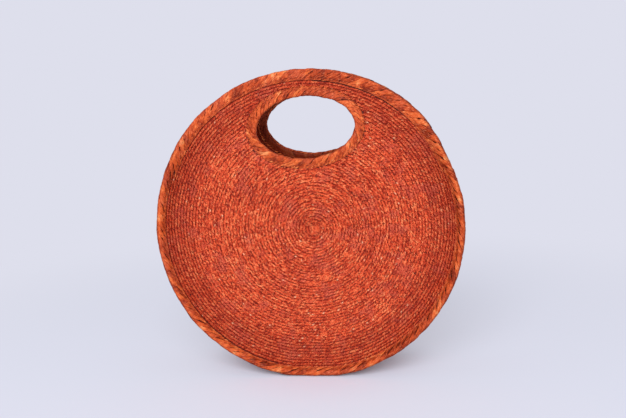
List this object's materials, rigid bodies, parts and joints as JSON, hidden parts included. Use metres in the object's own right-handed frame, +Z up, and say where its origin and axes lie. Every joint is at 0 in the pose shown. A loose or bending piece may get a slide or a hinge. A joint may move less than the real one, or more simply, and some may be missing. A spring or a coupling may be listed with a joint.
{
  "type": "round straw bag",
  "caption": "Round handbag of spiral-sewn dyed straw braid: flat discs joined by a sewn gusset, edges bound in folded braid, with an open mouth and an oval hand hole through the top.",
  "frame": {"origin": "on the surface that the bag stands on, under the middle of its box", "axes": "+Z up, +Y from the front disc to the back one, +X to the right as seen from the front"},
  "size_m": [0.3296, 0.0902, 0.3295],
  "materials": {
    "sewn_straw": "matt sewn straw braid, dyed brick red-orange",
    "edging_braid": "satin wide-leaf straw braid, dyed orange"
  },
  "bodies": {
    "back_half": {"back_panel": "sewn_straw", "back_mouth_binding": "edging_braid", "back_seam_binding": "edging_braid", "back_handle_binding": "edging_braid", "gusset": "sewn_straw", "left_gusset_binding": "edging_braid", "right_gusset_binding": "edging_braid"},
    "front_half": {"front_panel": "sewn_straw", "front_mouth_binding": "edging_braid", "front_seam_binding": "edging_braid", "front_handle_binding": "edging_braid"}
  },
  "joints": [
    {"name": "mouth_spread", "type": "hinge", "parent": "back_half", "child": "front_half", "pos_m": [0, -0.0405, 0], "axis": [1, 0, 0], "range_deg": [-8, 3], "stiffness_Nm_per_rad": 3, "deforming": ["gusset", "left_gusset_binding", "right_gusset_binding"]}
  ]
}
